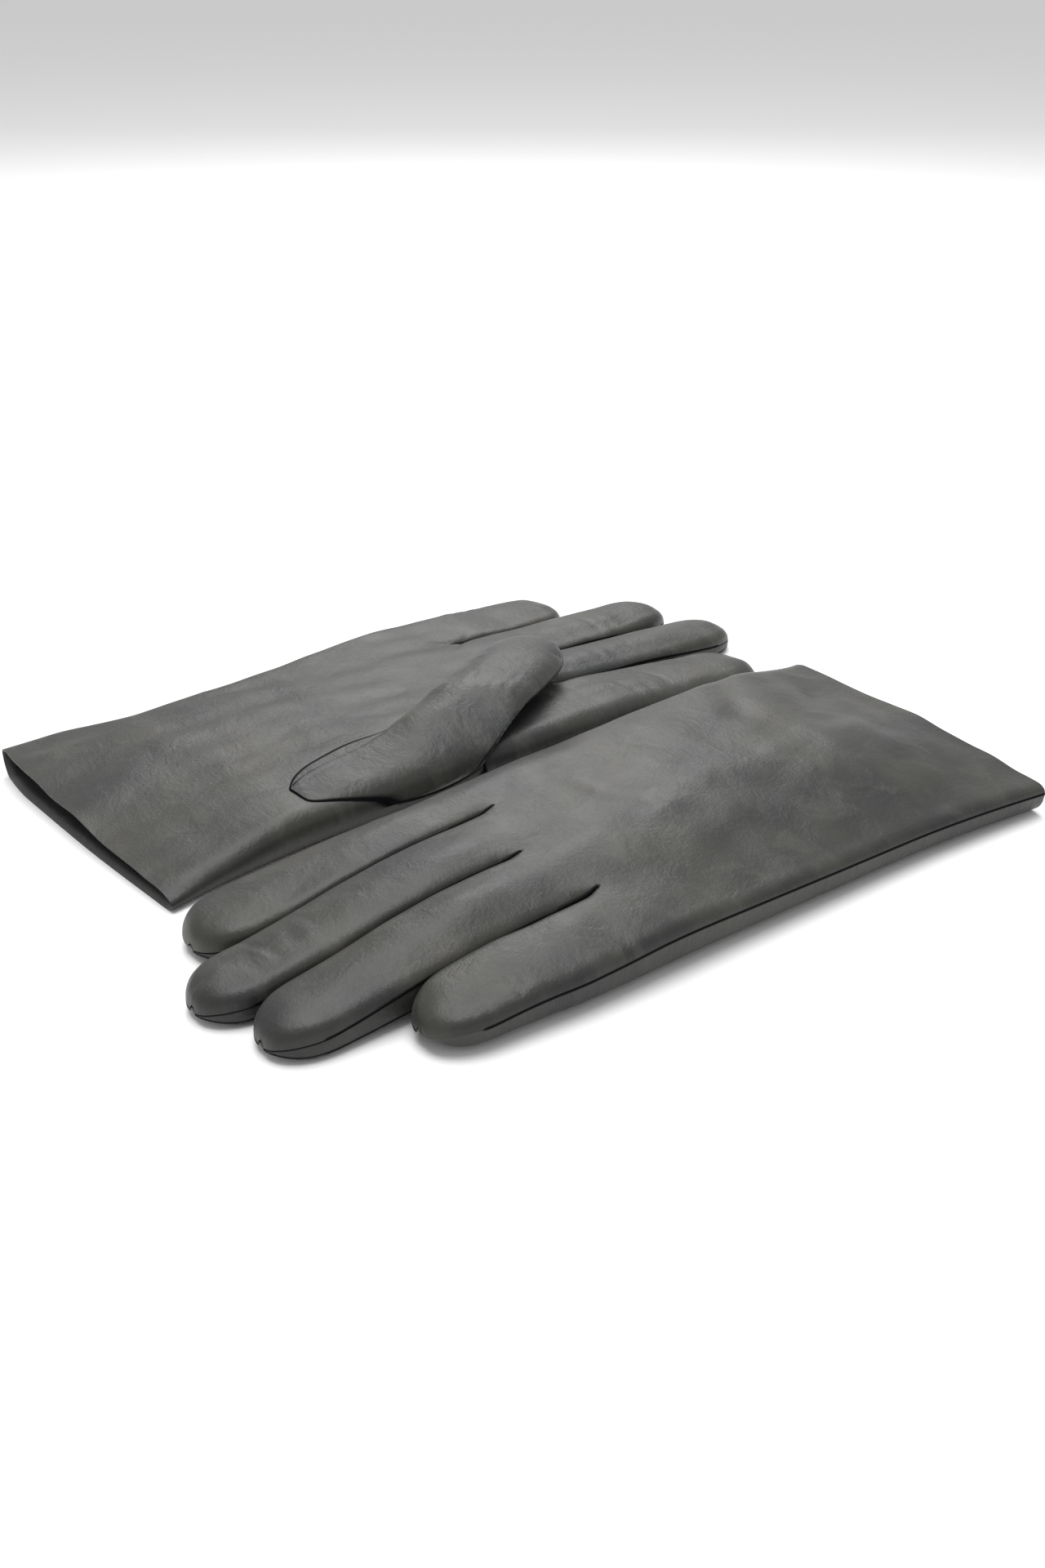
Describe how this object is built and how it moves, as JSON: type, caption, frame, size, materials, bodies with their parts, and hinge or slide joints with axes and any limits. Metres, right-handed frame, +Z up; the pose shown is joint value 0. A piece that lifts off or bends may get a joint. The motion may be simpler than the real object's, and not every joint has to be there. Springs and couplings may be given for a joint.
{
  "type": "pair of leather gloves",
  "caption": "Pair of smooth lined leather dress gloves laid flat, one palm up and one back up, with folding fingers and thumbs and an open cuff to put a hand in.",
  "frame": {"origin": "on the surface that the pair lies on, under the middle of the pair's bounding box", "axes": "+X along the right glove from cuff to finger tips, +Y from the left glove to the right glove, +Z up from the surface"},
  "size_m": [0.2712, 0.2246, 0.0257],
  "materials": {
    "shell_leather": "smooth fine-grained black nappa with a soft satin sheen",
    "fourchette_leather": "the same nappa, in the narrow strips between the fingers",
    "hem_leather": "flesh side of the turned-in cuff edge",
    "lining_knit": "fine dark knitted lining"
  },
  "bodies": {
    "right_hand": {"right_palm_panel": "shell_leather", "right_back_panel": "shell_leather", "right_cuff_hem": "hem_leather", "right_hand_lining": "lining_knit", "right_thumb_collar": "shell_leather"},
    "right_index": {"right_index_palm": "shell_leather", "right_index_back": "shell_leather", "right_index_fourchette": "fourchette_leather", "right_index_lining": "lining_knit"},
    "right_middle": {"right_middle_palm": "shell_leather", "right_middle_back": "shell_leather", "right_middle_fourchette_index_side": "fourchette_leather", "right_middle_fourchette_ring_side": "fourchette_leather", "right_middle_lining": "lining_knit"},
    "right_ring": {"right_ring_palm": "shell_leather", "right_ring_back": "shell_leather", "right_ring_fourchette_middle_side": "fourchette_leather", "right_ring_fourchette_little_side": "fourchette_leather", "right_ring_lining": "lining_knit"},
    "right_little": {"right_little_palm": "shell_leather", "right_little_back": "shell_leather", "right_little_fourchette": "fourchette_leather", "right_little_lining": "lining_knit"},
    "right_thumb": {"right_thumb_outer": "shell_leather", "right_thumb_inner": "shell_leather", "right_thumb_lining": "lining_knit"},
    "left_hand": {"left_palm_panel": "shell_leather", "left_back_panel": "shell_leather", "left_cuff_hem": "hem_leather", "left_hand_lining": "lining_knit", "left_thumb_collar": "shell_leather"},
    "left_index": {"left_index_palm": "shell_leather", "left_index_back": "shell_leather", "left_index_fourchette": "fourchette_leather", "left_index_lining": "lining_knit"},
    "left_middle": {"left_middle_palm": "shell_leather", "left_middle_back": "shell_leather", "left_middle_fourchette_index_side": "fourchette_leather", "left_middle_fourchette_ring_side": "fourchette_leather", "left_middle_lining": "lining_knit"},
    "left_ring": {"left_ring_palm": "shell_leather", "left_ring_back": "shell_leather", "left_ring_fourchette_middle_side": "fourchette_leather", "left_ring_fourchette_little_side": "fourchette_leather", "left_ring_lining": "lining_knit"},
    "left_little": {"left_little_palm": "shell_leather", "left_little_back": "shell_leather", "left_little_fourchette": "fourchette_leather", "left_little_lining": "lining_knit"},
    "left_thumb": {"left_thumb_outer": "shell_leather", "left_thumb_inner": "shell_leather", "left_thumb_lining": "lining_knit"}
  },
  "joints": [
    {"name": "left_glove_slide", "type": "slide", "parent": "right_hand", "child": "left_hand", "axis": [0, -1, 0], "range_m": [0, 0.15]},
    {"name": "right_index_curl", "type": "hinge", "parent": "right_hand", "child": "right_index", "pos_m": [0.05357, 0.02144, 0.0135], "axis": [0, -1, 0], "range_deg": [0, 80]},
    {"name": "right_middle_curl", "type": "hinge", "parent": "right_hand", "child": "right_middle", "pos_m": [0.05357, 0.04804, 0.0135], "axis": [0, -1, 0], "range_deg": [0, 80]},
    {"name": "right_ring_curl", "type": "hinge", "parent": "right_hand", "child": "right_ring", "pos_m": [0.05357, 0.07244, 0.0135], "axis": [0, -1, 0], "range_deg": [0, 80]},
    {"name": "right_little_curl", "type": "hinge", "parent": "right_hand", "child": "right_little", "pos_m": [0.05357, 0.09744, 0.0135], "axis": [0, -1, 0], "range_deg": [0, 80]},
    {"name": "right_thumb_open", "type": "hinge", "parent": "right_hand", "child": "right_thumb", "pos_m": [-0.02343, 0.00924, 0.0141], "axis": [1, 0, 0], "range_deg": [0, 90]},
    {"name": "left_index_lift", "type": "hinge", "parent": "left_hand", "child": "left_index", "pos_m": [-0.05283, -0.01667, 0.01992], "axis": [0.0279, 0.9996, 0], "range_deg": [0, 60]},
    {"name": "left_middle_lift", "type": "hinge", "parent": "left_hand", "child": "left_middle", "pos_m": [-0.05357, -0.04326, 0.01992], "axis": [0.0279, 0.9996, 0], "range_deg": [0, 60]},
    {"name": "left_ring_lift", "type": "hinge", "parent": "left_hand", "child": "left_ring", "pos_m": [-0.05425, -0.06765, 0.01923], "axis": [0.0279, 0.9996, 0], "range_deg": [0, 60]},
    {"name": "left_little_lift", "type": "hinge", "parent": "left_hand", "child": "left_little", "pos_m": [-0.05495, -0.09264, 0.0135], "axis": [0.0279, 0.9996, 0], "range_deg": [0, 60]},
    {"name": "left_thumb_swing", "type": "hinge", "parent": "left_hand", "child": "left_thumb", "pos_m": [0.02526, -0.02374, 0], "axis": [0, 0, 1], "range_deg": [-12, 4]}
  ]
}
